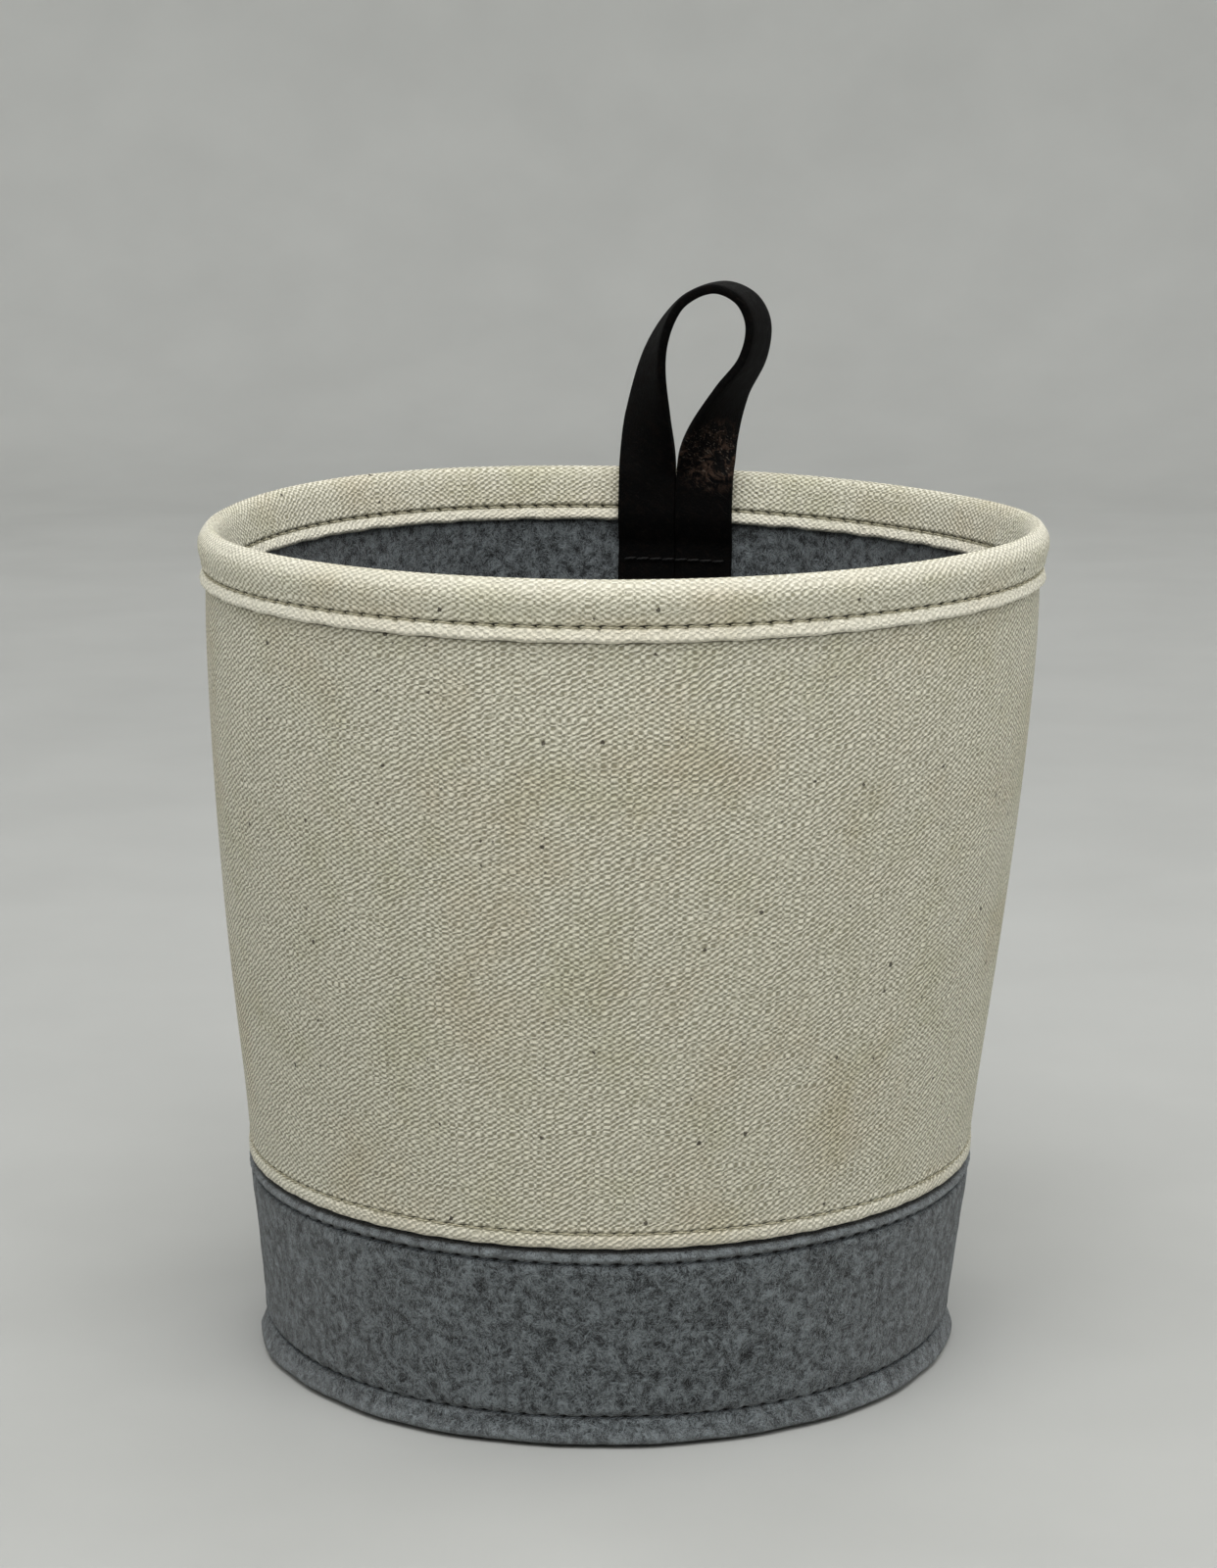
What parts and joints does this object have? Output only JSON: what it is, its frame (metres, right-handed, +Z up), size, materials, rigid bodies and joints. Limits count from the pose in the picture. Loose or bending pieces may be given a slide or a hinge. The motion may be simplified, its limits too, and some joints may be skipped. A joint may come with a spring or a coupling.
{
  "type": "fabric storage bucket",
  "caption": "Round tapered storage bucket of natural canvas over grey felt, with a bound rim, a felt foot band and a black leather hanging loop.",
  "frame": {"origin": "on the floor, at the centre of the foot", "axes": "+Z up through the mouth, +Y towards the back, where the hanging loop is sewn inside the rim"},
  "size_m": [0.1852, 0.1852, 0.23],
  "materials": {
    "canvas": "natural unbleached cotton duck, matt",
    "canvas_thread": "natural cotton sewing thread",
    "felt": "heather grey pressed felt, matt",
    "felt_thread": "dark grey sewing thread",
    "leather": "black finished leather, soft sheen",
    "leather_thread": "black sewing thread"
  },
  "bodies": {
    "bucket": {"felt_liner": "felt", "liner_seam_thread": "felt_thread", "canvas_shell": "canvas", "back_seam_tape": "canvas", "tape_thread_left": "canvas_thread", "tape_thread_right": "canvas_thread", "rim_binding": "canvas", "felt_base_band": "felt", "band_seam_thread": "felt_thread", "felt_base_disc": "felt", "rim_thread_outer": "canvas_thread", "rim_thread_inner": "canvas_thread", "hem_thread_outer": "canvas_thread", "hem_thread_inner": "felt_thread", "band_thread_outer": "felt_thread", "band_thread_inner": "felt_thread", "base_thread_outer": "felt_thread", "base_thread_inner": "felt_thread", "strap_end_left": "leather", "strap_end_right": "leather", "strap_thread_lower": "leather_thread", "strap_thread_upper": "leather_thread"},
    "hanging_loop": {"strap_loop": "leather"}
  },
  "joints": [
    {"name": "loop_flex", "type": "hinge", "parent": "bucket", "child": "hanging_loop", "pos_m": [0, 0.0835, 0.1875], "axis": [1, 0, 0], "range_deg": [-60, 75], "stiffness_Nm_per_rad": 0.02}
  ]
}
